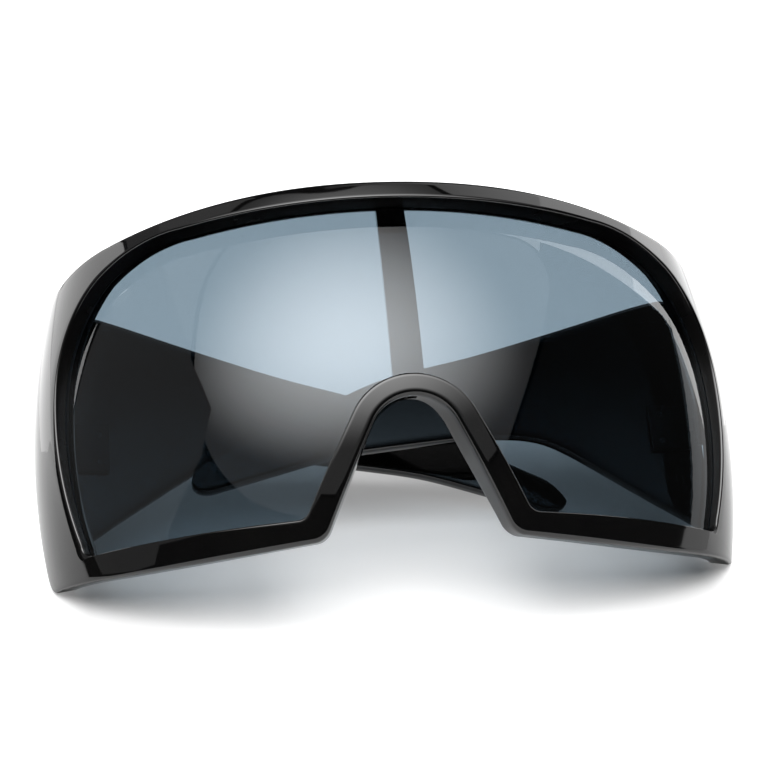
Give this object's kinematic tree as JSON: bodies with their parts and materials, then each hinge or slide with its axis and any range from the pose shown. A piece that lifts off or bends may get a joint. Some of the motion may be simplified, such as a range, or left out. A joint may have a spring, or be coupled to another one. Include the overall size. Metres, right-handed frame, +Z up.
{
  "type": "shield sunglasses",
  "caption": "Oversized black shield sunglasses with a wrapped one-piece smoke lens, a deep framed front with a nose arch and a centre rib, and broad folding temples, lying folded.",
  "frame": {"origin": "middle of the bounding box at floor level", "axes": "+X to the right of someone who faces the front, +Y back from the front to the folded temples, +Z up; the front leans back by 42.5 degrees"},
  "size_m": [0.1574, 0.0768, 0.0818],
  "materials": {
    "black_plastic": "glossy moulded black",
    "smoke_lens": "polished see-through smoke",
    "hinge_steel": "stamped, blackened, satin",
    "fastener_steel": "turned, blackened"
  },
  "bodies": {
    "left_temple": {"left_temple": "black_plastic", "left_temple_hinge": "hinge_steel", "left_temple_rivets": "fastener_steel"},
    "front": {"front_frame": "black_plastic", "shield_lens": "smoke_lens", "right_front_hinge": "hinge_steel", "left_front_hinge": "hinge_steel", "right_front_rivets": "fastener_steel", "left_front_rivets": "fastener_steel", "right_hinge_screw": "fastener_steel", "left_hinge_screw": "fastener_steel"},
    "right_temple": {"right_temple": "black_plastic", "right_temple_hinge": "hinge_steel", "right_temple_rivets": "fastener_steel"}
  },
  "joints": [
    {"name": "left_temple_fold", "type": "hinge", "parent": "left_temple", "child": "front", "pos_m": [-0.0736, 0.01497, 0.02282], "axis": [0, -0.6756, -0.7373], "range_deg": [0, 78.7]},
    {"name": "right_temple_fold", "type": "hinge", "parent": "front", "child": "right_temple", "pos_m": [0.0736, 0.01497, 0.02282], "axis": [0, -0.6756, -0.7373], "range_deg": [0, 6]}
  ]
}
